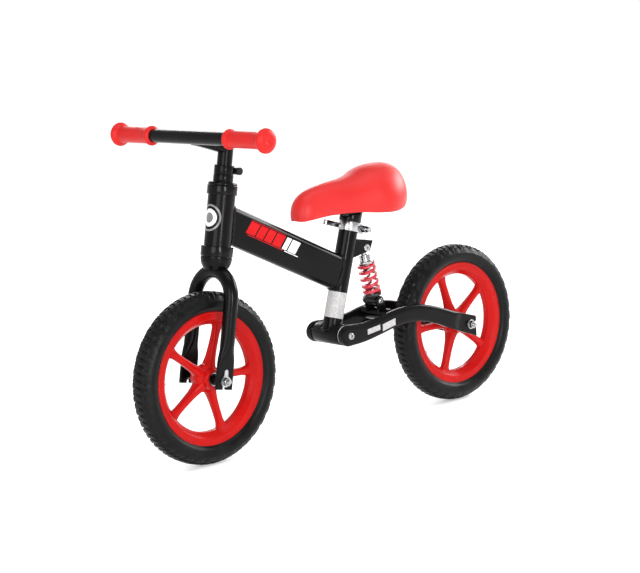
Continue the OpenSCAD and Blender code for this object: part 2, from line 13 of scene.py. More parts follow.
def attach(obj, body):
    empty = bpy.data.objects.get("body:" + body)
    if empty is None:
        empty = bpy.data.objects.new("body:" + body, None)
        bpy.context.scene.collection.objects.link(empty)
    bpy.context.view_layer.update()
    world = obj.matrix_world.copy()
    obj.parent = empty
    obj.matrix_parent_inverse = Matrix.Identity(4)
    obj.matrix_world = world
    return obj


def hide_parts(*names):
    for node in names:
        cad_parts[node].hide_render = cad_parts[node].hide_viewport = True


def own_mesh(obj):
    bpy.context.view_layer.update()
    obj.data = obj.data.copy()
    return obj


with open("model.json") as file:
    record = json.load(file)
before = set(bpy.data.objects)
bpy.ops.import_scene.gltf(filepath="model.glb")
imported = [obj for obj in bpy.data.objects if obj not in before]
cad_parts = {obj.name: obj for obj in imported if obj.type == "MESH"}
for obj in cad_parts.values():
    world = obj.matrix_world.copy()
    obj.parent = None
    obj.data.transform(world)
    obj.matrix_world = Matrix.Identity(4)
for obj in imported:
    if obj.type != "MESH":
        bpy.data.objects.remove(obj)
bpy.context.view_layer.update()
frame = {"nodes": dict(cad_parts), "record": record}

MM = 0.001

# ---------- Shared places and sizes, in millimetres in the row frame ----------

FRONT_X, REAR_X, AXLE_Z = 297.0, -297.0, 145.0
HEAD_LEAN = math.radians(10.7)
SEAT_LEAN = math.radians(17.1)
HEAD_RISE, HEAD_TUBE_R, SEAT_TUBE_R = 202.5, 22.75, 17.0
SEAT_FOOT = np.array([12.0, 0.0, 174.0])
PIVOT = np.array([9.0, 0.0, 173.0])
SHOCK_TOP = np.array([-74.0, 0.0, 315.0])
SHOCK_FOOT = np.array([-96.0, 0.0, 216.5])
BAR_X, BAR_Z, BAR_R = 300.0, 545.0, 11.0
AXLE_R, PIVOT_BOLT_R, PIVOT_TUBE_R = 4.0, 5.0, 18.5
HEAD_AXIS = np.array([-math.sin(HEAD_LEAN), 0, math.cos(HEAD_LEAN)])
SEAT_AXIS = np.array([-math.sin(SEAT_LEAN), 0, math.cos(SEAT_LEAN)])
SHOCK_AXIS = (SHOCK_TOP - SHOCK_FOOT) / np.linalg.norm(SHOCK_TOP - SHOCK_FOOT)


def at_leg(x, y, up):
    """A point from fork coordinates: x forward of the steering axis, up along it from the axle."""
    c, s = math.cos(HEAD_LEAN), math.sin(HEAD_LEAN)
    return np.array([FRONT_X + x * c - up * s, y, AXLE_Z + x * s + up * c])


def at_seat(x, y, up):
    """A point from seat tube coordinates: x forward of its axis, up along it from its foot."""
    c, s = math.cos(SEAT_LEAN), math.sin(SEAT_LEAN)
    return SEAT_FOOT + np.array([x * c - up * s, y, x * s + up * c])


# ---------- Materials ----------


class Nodes:
    """A small helper that adds and joins shader nodes."""

    def __init__(self, name):
        self.material = bpy.data.materials.new(name)
        self.material.use_nodes = True
        self.tree = self.material.node_tree
        self.bsdf = self.tree.nodes["Principled BSDF"]

    def add(self, kind, **inputs):
        node = self.tree.nodes.new(kind)
        for key, value in inputs.items():
            node.inputs[key.replace("_", " ")].default_value = value
        return node

    def link(self, source, target):
        self.tree.links.new(source, target)

    def set(self, **inputs):
        for key, value in inputs.items():
            self.bsdf.inputs[key.replace("_", " ")].default_value = value

    def ramp(self, source, low, high, start=0.35, end=0.65):
        node = self.tree.nodes.new("ShaderNodeMapRange")
        node.inputs["From Min"].default_value = start
        node.inputs["From Max"].default_value = end
        node.inputs["To Min"].default_value = low
        node.inputs["To Max"].default_value = high
        self.link(source, node.inputs["Value"])
        return node.outputs["Result"]

    def noise(self, scale, detail=3.0):
        where = self.tree.nodes.new("ShaderNodeTexCoord")
        node = self.add("ShaderNodeTexNoise", Scale=scale, Detail=detail)
        self.link(where.outputs["Object"], node.inputs["Vector"])
        return node.outputs["Fac"]

    def bump(self, height, strength, distance):
        node = self.add("ShaderNodeBump", Strength=strength, Distance=distance)
        self.link(height, node.inputs["Height"])
        self.link(node.outputs["Normal"], self.bsdf.inputs["Normal"])

    def tint(self, factor, first, second):
        node = self.tree.nodes.new("ShaderNodeMix")
        node.data_type = "RGBA"
        node.inputs[6].default_value = (*first, 1)
        node.inputs[7].default_value = (*second, 1)
        self.link(factor, node.inputs[0])
        self.link(node.outputs[2], self.bsdf.inputs["Base Color"])


def surface(name, color, other, roughness, spread=0.05, patch=28.0, grain=900.0, relief=0.00004,
            metallic=0.0, coat=0.0, specular=0.5):
    """A material with two close tones in soft patches, uneven gloss and a fine grain."""
    n = Nodes(name)
    n.set(Metallic=metallic, Coat_Weight=coat, Coat_Roughness=0.1, Specular_IOR_Level=specular)
    soft = n.noise(patch, 4.0)
    n.tint(n.ramp(soft, 0.0, 1.0), color, other)
    n.link(n.ramp(soft, roughness - spread, roughness + spread), n.bsdf.inputs["Roughness"])
    n.bump(n.noise(grain, 2.0), 0.35, relief)
    return n.material


paint = surface("black_paint", (0.0018, 0.0018, 0.0020), (0.0032, 0.0032, 0.0035), 0.22, 0.03, grain=420,
                relief=0.00003, specular=0.11)
zinc = surface("zinc_steel", (0.34, 0.34, 0.35), (0.48, 0.48, 0.49), 0.20, 0.06, patch=60, grain=1500,
               relief=0.00002, metallic=1.0)
chrome = surface("chrome_shaft", (0.80, 0.80, 0.81), (0.88, 0.88, 0.89), 0.14, 0.03, patch=80,
                 relief=0.00001, metallic=1.0)
black_steel = surface("black_steel", (0.006, 0.006, 0.0063), (0.011, 0.011, 0.0115), 0.30, 0.06,
                      specular=0.22)
plastic = surface("black_plastic", (0.0014, 0.0014, 0.0015), (0.0024, 0.0024, 0.0026), 0.15, 0.03,
                  grain=900, relief=0.00002, specular=0.15)
white_plastic = surface("white_plastic", (0.72, 0.72, 0.70), (0.80, 0.80, 0.78), 0.42)
red_plastic = surface("red_plastic", (0.38, 0.003, 0.0025), (0.43, 0.005, 0.004), 0.25, 0.05, patch=14,
                      grain=300, relief=0.00003, specular=0.11)
eva = surface("eva_tyre", (0.0030, 0.0030, 0.0032), (0.0058, 0.0058, 0.0061), 0.37, 0.08, patch=40,
              grain=700, relief=0.00014, specular=0.12)
red_rubber = surface("red_rubber", (0.48, 0.008, 0.007), (0.52, 0.011, 0.010), 0.46, 0.05, grain=900,
                     relief=0.00006, specular=0.22)
saddle_skin = surface("saddle_skin", (0.51, 0.009, 0.008), (0.55, 0.012, 0.011), 0.48, 0.04, patch=12,
                      grain=1100, relief=0.00005, specular=0.36)
spring_red = surface("spring_red", (0.46, 0.008, 0.022), (0.52, 0.012, 0.034), 0.22, 0.05, coat=0.4)
SLOTS = {"black_paint": paint, "zinc_steel": zinc, "black_steel": black_steel, "black_plastic": plastic,
         "white_plastic": white_plastic, "red_plastic": red_plastic, "eva_tyre": eva,
         "red_rubber": red_rubber, "saddle_skin": saddle_skin, "spring_red": spring_red}
SLOT_OF = {row["node"]: row["material_slot"] for row in frame["record"]["subparts"]}
for node_name, node in frame["nodes"].items():
    node.data.materials.clear()
    node.data.materials.append(SLOTS[SLOT_OF[node_name]])

# The width of each plain CAD node's edge bevel, in millimetres.
BEVELLED = {"upper_headset_cup": 0.9, "lower_headset_cup": 0.9, "headset_cap": 0.4, "stem_clamp": 0.5,
            "saddle_collar": 0.8, "seat_clamp": 0.7, "clamp_nut": 0.6, "stem_clamp_bolt": 0.35,
            "pivot_tube": 0.8, "upper_shock_bracket": 0.5, "lower_shock_lugs": 0.5, "rear_washers": 0.3,
            "front_tab_washers": 0.3, "qr_lever": 0.8, "shock_body": 0.6}
for node_name, width in BEVELLED.items():
    node = frame["nodes"][node_name]
    weld = node.modifiers.new("weld", "WELD")
    weld.merge_threshold = 0.00001
    bevel = node.modifiers.new("edge", "BEVEL")
    bevel.width, bevel.segments, bevel.limit_method = width * MM, 2, "ANGLE"
    bevel.angle_limit = math.radians(38)

# ---------- Mesh helpers ----------


def linked(name, data):
    """A new object in the scene."""
    obj = bpy.data.objects.new(name, data)
    bpy.context.scene.collection.objects.link(obj)
    return obj


def closed_mesh(name, verts, faces):
    """A mesh from points in millimetres, with its normals facing out."""
    mesh = bpy.data.meshes.new(name)
    mesh.from_pydata([tuple(float(c) * MM for c in v) for v in verts], [], [tuple(f) for f in faces])
    mesh.validate()
    bm = bmesh.new()
    bm.from_mesh(mesh)
    bmesh.ops.recalc_face_normals(bm, faces=bm.faces)
    bm.to_mesh(mesh)
    bm.free()
    return mesh


def piece(name, verts, faces, material, body, smooth=40.0):
    """A visible piece that rides on a CAD body."""
    mesh = closed_mesh(name, verts, faces)
    mesh.materials.append(material)
    mesh.shade_smooth()
    mesh.set_sharp_from_angle(angle=math.radians(smooth))
    obj = linked(name, mesh)
    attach(obj, body)
    return obj


def cutter(verts, faces):
    """A shape for cut_away."""
    return linked("cutter", closed_mesh("cutter", verts, faces))


def stands_for(obj, *nodes):
    """Hides the CAD nodes that a piece takes the place of."""
    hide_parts(*nodes)
    return obj


def grid(rings, closed=False):
    """Points and faces from rings of points: capped at both ends, or closed from last to first."""
    rings = np.asarray(rings, float)
    rows, n = rings.shape[:2]
    faces = []
    for j in range(rows if closed else rows - 1):
        k = (j + 1) % rows
        for i in range(n):
            m = (i + 1) % n
            faces.append((j * n + i, j * n + m, k * n + m, k * n + i))
    if not closed:
        faces.append(tuple(range(n - 1, -1, -1)))
        faces.append(tuple((rows - 1) * n + i for i in range(n)))
    return rings.reshape(-1, 3), faces


def merged(*parts):
    """Several point and face lists as one."""
    verts, faces = [], []
    for v, f in parts:
        base = len(verts)
        verts.extend([tuple(p) for p in v])
        faces.extend([tuple(i + base for i in face) for face in f])
    return verts, faces


def around(steps):
    """Evenly spaced angles of one full turn."""
    return np.linspace(0, 2 * math.pi, steps, endpoint=False)


def rod_y(radius, x, z, y0, y1, steps=32):
    """A plain cylinder along Y through (x, z)."""
    return grid([[(x + radius * math.cos(q), y, z + radius * math.sin(q)) for q in around(steps)]
                 for y in (y0, y1)])


def lathe_y(profile, x, z, steps=128):
    """Turns a closed [radius, y] outline about the Y direction through (x, z)."""
    rings = []
    for k in range(steps):
        a = 2 * math.pi * k / steps
        rings.append([(x + r * math.cos(a), y, z + r * math.sin(a)) for r, y in profile])
    return grid(rings, closed=True)


def smoothstep(a, b, x):
    """A soft step from 0 at a to 1 at b."""
    t = np.clip((np.asarray(x, float) - a) / (b - a), 0, 1)
    return t * t * (3 - 2 * t)


def rounded(outline, radius, steps=4):
    """A closed outline of 2-D points with each corner rounded."""
    out = []
    n = len(outline)
    for i in range(n):
        p = np.array(outline[i], float)
        a = np.array(outline[i - 1], float) - p
        b = np.array(outline[(i + 1) % n], float) - p
        la, lb = np.linalg.norm(a), np.linalg.norm(b)
        r = min(radius, la * 0.45, lb * 0.45)
        p0, p1 = p + a / la * r, p + b / lb * r
        for k in range(steps + 1):
            t = k / steps
            out.append(tuple((1 - t) ** 2 * p0 + 2 * t * (1 - t) * p + t * t * p1))
    return out


# ---------- Wheels ----------

TREAD_PITCHES = 76
TREAD_DEPTH = 2.5


def tyre(name, x, body):
    """Smooth sidewalls and a tread of chevrons with lugs over the shoulders."""
    across = np.linspace(-1, 1, 57)
    s = np.abs(across)
    crown_r = np.interp(s, [0, 0.35, 0.62, 0.82, 1.0], [145, 144.4, 141.3, 137.0, 130.5])
    crown_y = np.sign(across) * np.interp(s, [0, 0.35, 0.62, 0.82, 1.0], [0, 9.0, 15.0, 19.6, 22.6])
    side = [(126, 22.9), (121, 22.5), (117, 20.8), (114, 18.0), (112.8, 15.7), (109, 13.5), (106.2, 12)]
    rings = []
    steps = TREAD_PITCHES * 14
    for k in range(steps):
        turn = k / steps
        a = 2 * math.pi * turn
        phase = turn * TREAD_PITCHES + 0.9 * s
        wave = np.abs((phase % 1.0) - 0.5) * 2
        chevron = smoothstep(0.62, 0.80, wave)
        lug_phase = turn * TREAD_PITCHES / 2 + 0.12 * np.sign(across) + 0.1 * s
        lug = smoothstep(0.55, 0.72, np.abs((lug_phase % 1.0) - 0.5) * 2)
        zig = 0.56 + 0.05 * np.sin(2 * math.pi * turn * TREAD_PITCHES / 2)
        channel = 1 - smoothstep(0.02, 0.06, np.abs(s - zig))
        inner = np.where(s < zig, chevron, np.maximum(lug, 0.5 * chevron))
        fade = (1 - 0.55 * smoothstep(0.62, 0.80, s)) * (1 - smoothstep(0.90, 0.99, s))
        cut = np.maximum(inner, channel) * fade
        r = crown_r - TREAD_DEPTH * cut
        ring = [(q, -y) for q, y in reversed(side)]
        ring += list(zip(r, crown_y)) + side
        rings.append([(x + q * math.cos(a), y, AXLE_Z + q * math.sin(a)) for q, y in ring])
    return piece(name, *grid(rings, closed=True), eva, body, 60)


# The rim's section and the hub's, as (radius, y).
RIM_OUTLINE = [(90, -5.2), (99, -14.9), (101, -15.4), (108.6, -15.1), (109.6, -15.5), (112.3, -15.5),
               (112.3, -13.2), (106.2, -12), (106.2, 12), (112.3, 13.2), (112.3, 15.5),
               (109.6, 15.5), (108.6, 15.1), (101, 15.4), (99, 14.9), (90, 5.2)]
HUB_OUTLINE = [(11.0, -22), (15.2, -22), (17.0, -20.6), (17.8, -12), (24.5, -6), (24.5, 6), (17.8, 12),
               (17.0, 20.6), (15.2, 22), (11.0, 22)]
SPOKES = 5


def spoke(x, angle):
    """One spoke as a rounded trapezoid that flares at the hub and at the rim."""
    along = np.concatenate([np.linspace(12, 34, 10), np.linspace(38, 74, 8), np.linspace(77, 95, 10)])
    width = np.interp(along, [12, 20, 28, 40, 60, 76, 84, 90, 95],
                      [10.5, 10.0, 8.4, 7.0, 6.4, 6.7, 8.0, 11.0, 15.5])
    deep = np.interp(along, [12, 20, 34, 50, 90, 95], [15, 12.5, 9.2, 8.0, 6.2, 6.0])
    section = [(1.0, 0.0), (0.97, 0.35), (0.80, 0.74), (0.58, 0.93), (0.30, 1.0), (0.0, 1.0),
               (-0.30, 1.0), (-0.58, 0.93), (-0.80, 0.74), (-0.97, 0.35)]
    section += [(-u, -v) for u, v in section]
    ca, sa = math.cos(angle), math.sin(angle)
    rings = []
    for r, w, t in zip(along, width, deep):
        rings.append([(x + r * ca - u * w * sa, v * t, AXLE_Z + r * sa + u * w * ca) for u, v in section])
    return grid(rings)


def nub(x, angle):
    """The small round nub that stands inward from the rim."""
    ca, sa = math.cos(angle), math.sin(angle)
    rings = []
    for r, w in ((92, 3.4), (87.4, 3.2), (86.4, 2.4), (86.0, 0.6)):
        rings.append([(x + r * ca - w * math.cos(q) * sa, w * math.sin(q),
                       AXLE_Z + r * sa + w * math.cos(q) * ca) for q in around(16)])
    return grid(rings)


def rim(name, x, first_spoke, nub_angle, body):
    """A one-piece moulded wheel: rim, hub and spokes."""
    parts = [lathe_y(rounded(RIM_OUTLINE, 1.6), x, AXLE_Z, 192),
             lathe_y(rounded(HUB_OUTLINE, 2.5), x, AXLE_Z, 96)]
    parts += [spoke(x, math.radians(first_spoke + 360 / SPOKES * k)) for k in range(SPOKES)]
    parts.append(nub(x, math.radians(nub_angle)))
    return piece(name, *merged(*parts), red_plastic, body, 34)


# How far each wheel is turned, in degrees: its first spoke and its nub.
for end, x, first_spoke, nub_angle in (("front", FRONT_X, 37.6, 3.1), ("rear", REAR_X, 72.0, -30.8)):
    wheel = end + "_wheel"
    stands_for(tyre(end + "_tyre_tread", x, wheel), end + "_tyre")
    stands_for(rim(end + "_rim_moulded", x, first_spoke, nub_angle, wheel), end + "_rim")

# ---------- Tubes and other swept forms ----------


def superellipse(a, b, power, steps=40):
    """Points of a rounded section with half sizes a and b; power 2 is an ellipse, higher is boxier."""
    out = []
    for k in range(steps):
        t = 2 * math.pi * (k + 0.5) / steps
        c, s = math.cos(t), math.sin(t)
        out.append((a * math.copysign(abs(c) ** (2 / power), c), b * math.copysign(abs(s) ** (2 / power), s)))
    return out


def curve(xs, ys, x):
    """A smooth curve through the points (xs, ys), read at x."""
    xs, ys, x = np.asarray(xs, float), np.asarray(ys, float), np.asarray(x, float)
    slope = np.gradient(ys, xs)
    k = np.clip(np.searchsorted(xs, x) - 1, 0, len(xs) - 2)
    h = xs[k + 1] - xs[k]
    t = (x - xs[k]) / h
    return ((2 * t**3 - 3 * t**2 + 1) * ys[k] + (t**3 - 2 * t**2 + t) * h * slope[k]
            + (-2 * t**3 + 3 * t**2) * ys[k + 1] + (t**3 - t**2) * h * slope[k + 1])


def round_tube(path, radius, steps):
    """A round tube along an open path of points."""
    path = np.asarray(path, float)
    ahead = np.gradient(path, axis=0)
    ahead /= np.linalg.norm(ahead, axis=1)[:, None]
    side = np.cross(ahead[0], (0.3, 0.1, 0.95))
    rings = []
    for p, d in zip(path, ahead):
        side = side - d * np.dot(side, d)
        side /= np.linalg.norm(side)
        other = np.cross(d, side)
        rings.append([p + radius * (math.cos(a) * side + math.sin(a) * other) for a in around(steps)])
    return grid(rings)


def cut_away(obj, *cutters):
    """Cuts shapes out of a piece and removes the cutters."""
    for tool in cutters:
        modifier = obj.modifiers.new("cut", "BOOLEAN")
        modifier.operation = "DIFFERENCE"
        modifier.solver = "EXACT"
        modifier.object = tool
    bpy.context.view_layer.update()
    graph = bpy.context.evaluated_depsgraph_get()
    mesh = bpy.data.meshes.new_from_object(obj.evaluated_get(graph))
    obj.modifiers.clear()
    obj.data = mesh
    obj.data.set_sharp_from_angle(angle=math.radians(38))
    for tool in cutters:
        bpy.data.objects.remove(tool)


def block(corners):
    """A six-sided block from its four lower and four upper corners."""
    return corners, [(3, 2, 1, 0), (4, 5, 6, 7), (0, 1, 5, 4), (1, 2, 6, 5), (2, 3, 7, 6), (3, 0, 4, 7)]


# ---------- Fork ----------

LEG_Y, ARCH_UP, FORK_R = 47.0, 131.1, 12.0
TAB_HALF_WIDE, TAB_HALF_THICK = 17.0, 3.0


def fork(name):
    """An arched tube whose legs flatten into slotted dropouts."""
    ups = [-14.0, -13.2, 4, 12, 18, 22, 26, 30, 35, 40, 46, 52, 58, 64, 72, 90, 120]
    stations = [(-LEG_Y, u, 0) for u in ups]
    stations += [(-LEG_Y * math.cos(a), ARCH_UP + LEG_Y * math.sin(a), a)
                 for a in np.linspace(0, math.pi, 41)]
    stations += [(LEG_Y, u, math.pi) for u in reversed(ups)]
    rings = []
    for y, up, a in stations:
        t = float(smoothstep(14, 70, up))
        half_wide = TAB_HALF_WIDE + (FORK_R - TAB_HALF_WIDE) * t
        half_thick = TAB_HALF_THICK + (FORK_R - TAB_HALF_THICK) * t
        power = 9.0 - 7.0 * float(smoothstep(10, 52, up))
        out = (-math.cos(a), math.sin(a)) if up > 100 else (math.copysign(1, y), 0.0)
        rings.append([at_leg(p, y + out[0] * q, up + out[1] * q)
                      for p, q in superellipse(half_wide, half_thick, power, 48)])
    obj = piece(name, *grid(rings), paint, "fork", 38)
    cutters = []
    for side in (-1, 1):
        lo, hi = side * LEG_Y - 8, side * LEG_Y + 8
        slot = [at_leg(x, y, up) for up in (-25, 0)
                for x, y in ((-AXLE_R, lo), (AXLE_R, lo), (AXLE_R, hi), (-AXLE_R, hi))]
        hole = [[at_leg(AXLE_R * math.cos(q), y, AXLE_R * math.sin(q)) for q in around(32)]
                for y in (lo, hi)]
        cutters += [cutter(*block(slot)), cutter(*grid(hole))]
    cut_away(obj, *cutters)
    return obj


stands_for(fork("fork_arch_tube"), "fork_legs")

# ---------- Swingarm ----------

# The arm's middle line and half height, as (x, z, half).
ARM_LINE = np.array([(9.0, 173.0, 19.0), (-30.0, 173.5, 17.0), (-62.0, 177.5, 15.5), (-112.0, 186.5, 15.5),
                     (-163.0, 187.0, 15.5), (-212.0, 175.0, 15.5), (-252.0, 160.0, 16.2),
                     (-297.0, 145.0, 17.5), (-330.0, 134.0, 18.5)])
ARM_Y, ARM_HALF, ARM_END_X = 41.0, 7.0, -312.0
ARM_FLAT_HALF, ARM_FLAT_SHIFT, ARM_TIP = 3.0, 1.5, 19.0


def arm_height(x):
    """The height of the arm's middle line at x."""
    return curve(-ARM_LINE[:, 0], ARM_LINE[:, 1], -np.asarray(x, float))


def box(x0, x1, y0, y1, z0, z1):
    """An upright block between two corners."""
    return block([(x, y, z) for z in (z0, z1) for x, y in ((x0, y0), (x1, y0), (x1, y1), (x0, y1))])


def arm(name, side):
    """A tube flattened into a tall oval, rounded over the pivot and pressed flat at the axle."""
    xs = np.concatenate([np.linspace(9, -60, 12), np.linspace(-66, -250, 34), np.linspace(-254, -274, 9),
                         np.linspace(-280, -330, 8)])
    zs = arm_height(xs)
    half = curve(-ARM_LINE[:, 0], ARM_LINE[:, 2], -xs)
    slope = np.gradient(zs, xs)
    rings = []
    for u in np.linspace(1.0, 0.05, 12):
        reach = ARM_TIP * math.sin(u * math.pi / 2)
        high = max(ARM_TIP * math.cos(u * math.pi / 2), 1.2)
        thick = ARM_HALF * (1 - 0.35 * u**6)
        d = np.array([1.0, slope[0]]) / math.hypot(1.0, slope[0])
        centre = (xs[0] + d[0] * reach, zs[0] + d[1] * reach)
        rings.append([(centre[0] - d[1] * q, side * (ARM_Y + p), centre[1] + d[0] * q)
                      for p, q in superellipse(thick, high, 3.4 + 2 * u, 44)])
    for x, z, h, m in zip(xs, zs, half, slope):
        d = np.array([1.0, m]) / math.hypot(1.0, m)
        flat = float(smoothstep(-252, -272, x)) if x < -252 else 0.0
        thick = ARM_HALF + (ARM_FLAT_HALF - ARM_HALF) * flat
        middle = ARM_Y + ARM_FLAT_SHIFT * flat
        rings.append([(x - d[1] * q, side * (middle + p), z + d[0] * q)
                      for p, q in superellipse(thick, h, 3.4 + 5.0 * flat, 44)])
    obj = piece(name, *grid(rings), paint, "swingarm", 38)
    lo, hi = (20, 60) if side > 0 else (-60, -20)
    cut_away(obj, cutter(*box(-380, ARM_END_X, lo, hi, 100, 200)),
             cutter(*box(-330, REAR_X, lo, hi, AXLE_Z - AXLE_R, AXLE_Z + AXLE_R)),
             cutter(*rod_y(AXLE_R, REAR_X, AXLE_Z, lo, hi)),
             cutter(*rod_y(PIVOT_BOLT_R, PIVOT[0], PIVOT[2], lo, hi)))
    return obj


stands_for(arm("left_arm_pressed_tube", 1), "left_swingarm")
stands_for(arm("right_arm_pressed_tube", -1), "right_swingarm")

# ---------- Shock spring ----------

SPRING_BASE, SPRING_LEN, WIRE_R, COIL_R = 12.5, 61.0, 2.9, 14.05
CLOSED_TURNS, ACTIVE_TURNS, TURN_STEPS = 1.0, 3.4, 36
SHAFT_R, SHAFT_ENDS = 4.53, (12.0, 66.0)


def round_shock(r, angle, up):
    """A point round the shock's axis, up along it from the lower eye."""
    side = np.array([0.0, 1.0, 0.0])
    other = np.cross(SHOCK_AXIS, side)
    return SHOCK_FOOT + SHOCK_AXIS * up + r * (math.cos(angle) * side + math.sin(angle) * other)


def coil(name):
    """A compression spring with one closed turn at each end."""
    closed_pitch = 2 * WIRE_R * 1.03
    rise = SPRING_LEN - 2 * WIRE_R - 2 * CLOSED_TURNS * closed_pitch
    path = []
    for k in range(int((2 * CLOSED_TURNS + ACTIVE_TURNS) * TURN_STEPS) + 1):
        t = k / TURN_STEPS
        low = min(t, CLOSED_TURNS) * closed_pitch
        high = max(0.0, t - CLOSED_TURNS - ACTIVE_TURNS) * closed_pitch
        middle = min(max(t - CLOSED_TURNS, 0), ACTIVE_TURNS) / ACTIVE_TURNS * rise
        path.append(round_shock(COIL_R, 2 * math.pi * t + 0.6, SPRING_BASE + WIRE_R + low + high + middle))
    return piece(name, *round_tube(path, WIRE_R, 14), spring_red, "shock_upper", 50)


spring = stands_for(coil("shock_coil_spring"), "shock_spring")
shaft = [[round_shock(SHAFT_R, q, up) for q in around(40)] for up in SHAFT_ENDS]
piece("shock_chrome_shaft", *grid(shaft), chrome, "shock_lower", 40)
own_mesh(spring)

# ---------- Handlebar and grips ----------

GRIP_START, STEM_R = 96.0, 12.7


def grip(name, side):
    """A soft grip with a small inner flange and a domed, dimpled outer end."""
    body, bore = 13.5, BAR_R + 0.15
    stations = [(0, bore), (0, 12.6), (0.6, 14.0), (2.2, 15.6), (4.2, 16.5), (6.2, 16.4), (8.4, 15.2),
                (10.2, 14.0), (12.5, body), (37, body - 0.1), (64, body), (80, body + 0.1), (83, 14.0),
                (85, 15.2), (86.8, 17.4), (88.6, 19.1), (90.8, 20.0), (93.4, 19.8), (96, 18.2),
                (98.2, 15.2), (99.4, 11.6), (99.8, 7.2), (99.2, 5.2), (98.4, 3.6), (98.2, 0.4)]
    stations += [(97.0, 0.4), (96.9, bore)]
    profile = [(r, side * (GRIP_START + y)) for y, r in stations]
    return piece(name, *lathe_y(profile, BAR_X, BAR_Z, 72), red_rubber, "handlebar", 60)


stands_for(grip("left_grip_moulded", 1), "left_grip")
stands_for(grip("right_grip_moulded", -1), "right_grip")


def stem_gooseneck(name):
    """A tapering oval arm from the stem to the handlebar."""
    start, end = np.array([232.0, 0, 523.0]), np.array([BAR_X - 5.0, 0, BAR_Z - 3.0])
    rings = []
    for t in np.linspace(0, 1, 14):
        p = start + (end - start) * t
        half = 10.0 + 1.2 * (1 - t) ** 2
        rings.append([(p[0], q, p[2] + w) for q, w in superellipse(10.6 - 1.6 * t, half, 3.0, 40)])
    obj = piece(name, *grid(rings), paint, "handlebar", 45)
    stem = [[at_leg(STEM_R * math.cos(q), STEM_R * math.sin(q), up) for q in around(48)]
            for up in (300, 440)]
    cut_away(obj, cutter(*rod_y(BAR_R + 0.1, BAR_X, BAR_Z, -30, 30, 48)), cutter(*grid(stem)))
    return obj


stands_for(stem_gooseneck("stem_gooseneck"), "stem_arm")

# ---------- Saddle ----------

NOSE_X, TAIL_X = 81.0, -170.0


def saddle_form(name):
    """A long moulded saddle: narrow nose, dipped waist, high rounded tail, edges tucked under."""
    xs_w = [-170, -166, -155, -140, -120, -100, -80, -60, -34, -8, 20, 46, 66, 76, 81]
    half_w = [8, 20, 36, 49.5, 59, 62.5, 59.5, 51.5, 42, 34.5, 29, 26.5, 24, 18, 10]
    xs_t = [-170, -166, -158, -151, -140, -127, -102, -77, -53, -28, -4, 20, 44, 60, 70, 77, 81]
    top = [413, 425, 441.5, 451, 458, 461, 461.3, 457.5, 448, 442.5, 440.2, 437, 432.5, 427, 420.5,
           411.5, 402]
    xs_b = [-170, -162, -150, -130, -100, -70, -40, -10, 20, 50, 70, 78, 82]
    low = [405, 396.5, 388.6, 382.0, 378.8, 380.2, 383.5, 385.0, 384.5, 382.4, 380.4, 379.4, 379.8]
    lip, roof = 5.0, 384.0
    u = (1 - np.cos(np.linspace(0, math.pi, 64))) / 2
    xs = TAIL_X + (NOSE_X - TAIL_X) * u
    w, t, b = curve(xs_w, half_w, xs), curve(xs_t, top, xs), curve(xs_b, low, xs)
    rings = []
    for x, hw, zt, zb in zip(xs, w, t, b):
        waist = zb + 0.26 * (zt - zb)
        ring = []
        for k in range(49):
            a = -0.25 * math.pi + 1.5 * math.pi * k / 48
            c, s = math.cos(a), math.sin(a)
            if s >= 0:
                y = hw * math.copysign(abs(c) ** 0.97, c)
                z = waist + (zt - waist) * abs(s) ** 1.07
            else:
                y = hw * math.copysign(abs(c) ** 0.18, c)
                z = waist - (waist - zb) * min(1.0, abs(s) / 0.7071) ** 0.9
            ring.append((x, y, z))
        inner = max(hw * math.cos(math.pi / 4) ** 0.18 - lip, 0.3 * hw)
        from_tail, from_nose = x - TAIL_X, NOSE_X - x
        open_here = float(smoothstep(6, 16, from_tail) * smoothstep(6, 16, from_nose))
        ceiling = zb + 0.5 + open_here * max(roof - zb, 0.0)
        under = [(inner, zb + 0.2), (inner - 1.5, ceiling), (inner * 0.5, ceiling)]
        ring += [(x, -q, z) for q, z in under] + [(x, q, z) for q, z in reversed(under)]
        rings.append(ring)
    obj = piece(name, *grid(rings), saddle_skin, "seat", 70)
    smooth = obj.modifiers.new("soften", "SMOOTH")
    smooth.factor, smooth.iterations = 0.3, 2
    return obj


saddle = stands_for(saddle_form("saddle_moulded"), "saddle")

# ---------- Nuts, bolts and axles ----------


def hexagon(y0, y1, flats, hole, x, z, turn=0.0):
    """A hexagonal nut along Y with its corners chamfered on the outer face, y1."""
    steps = 72
    inward = math.copysign(1, y0 - y1)
    inner_face = flats / 2 * 0.97
    rings = [[], [], [], [], [], []]
    for k in range(steps):
        a = 2 * math.pi * k / steps + turn
        sixth = (2 * math.pi * k / steps) % (math.pi / 3) - math.pi / 6
        r = flats / 2 / math.cos(sixth)
        drop = (r - inner_face) * 0.6
        place = [(hole, y0), (r, y0), (r, y1 + inward * drop), (inner_face, y1),
                 (hole + 0.7, y1), (hole, y1 + inward * 0.7)]
        for ring, (q, y) in zip(rings, place):
            ring.append((x + q * math.cos(a), y, z + q * math.sin(a)))
    return grid(rings, closed=True)


def threaded_end(y0, y1, r, x, z):
    """A chamfered, threaded axle or bolt along Y, from y0 to the free end y1."""
    out = math.copysign(1, y1 - y0)
    length = abs(y1 - y0)
    pitch = 1.25
    profile = [(0.2, y0), (r, y0)]
    turns = max(int((length - 1.4) / pitch), 1)
    for k in range(turns):
        profile += [(r, y0 + out * (k * pitch + 0.3)), (r - 0.55, y0 + out * (k * pitch + 0.75)),
                    (r, y0 + out * (k * pitch + 1.15))]
    profile += [(r, y1 - out * 0.7), (r - 0.7, y1), (0.2, y1)]
    return lathe_y(profile, x, z, 40)


